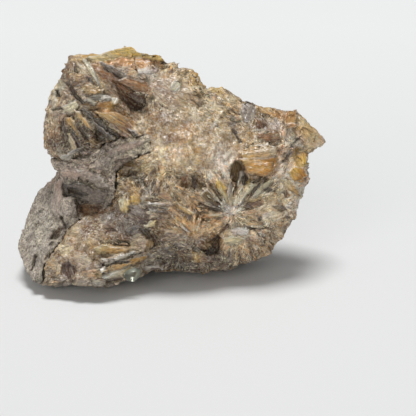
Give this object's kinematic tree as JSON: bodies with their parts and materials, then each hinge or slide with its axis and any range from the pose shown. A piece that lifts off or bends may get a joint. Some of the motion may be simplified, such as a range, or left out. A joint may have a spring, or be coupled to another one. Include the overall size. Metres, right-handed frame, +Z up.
{
  "type": "daisy gypsum mineral specimen",
  "caption": "Hand-sized rock of honey-coloured gypsum blades in radiating daisy sprays, grown as a rough crust on a wedge of grey-mauve mudstone, resting on a flat base.",
  "frame": {"origin": "middle of the bounding box, at the level of the flat base the specimen rests on", "axes": "+X to the viewer's right along the widest side, -Y towards the viewer with the crystal face, +Z up"},
  "size_m": [0.0972, 0.065, 0.0697],
  "materials": {
    "gypsum": "honey-brown gypsum, glassy on the blades and sugary between them",
    "mudstone": "dull grey-mauve mudstone"
  },
  "bodies": {
    "root": {"gypsum": "gypsum", "mudstone": "mudstone"}
  },
  "joints": []
}
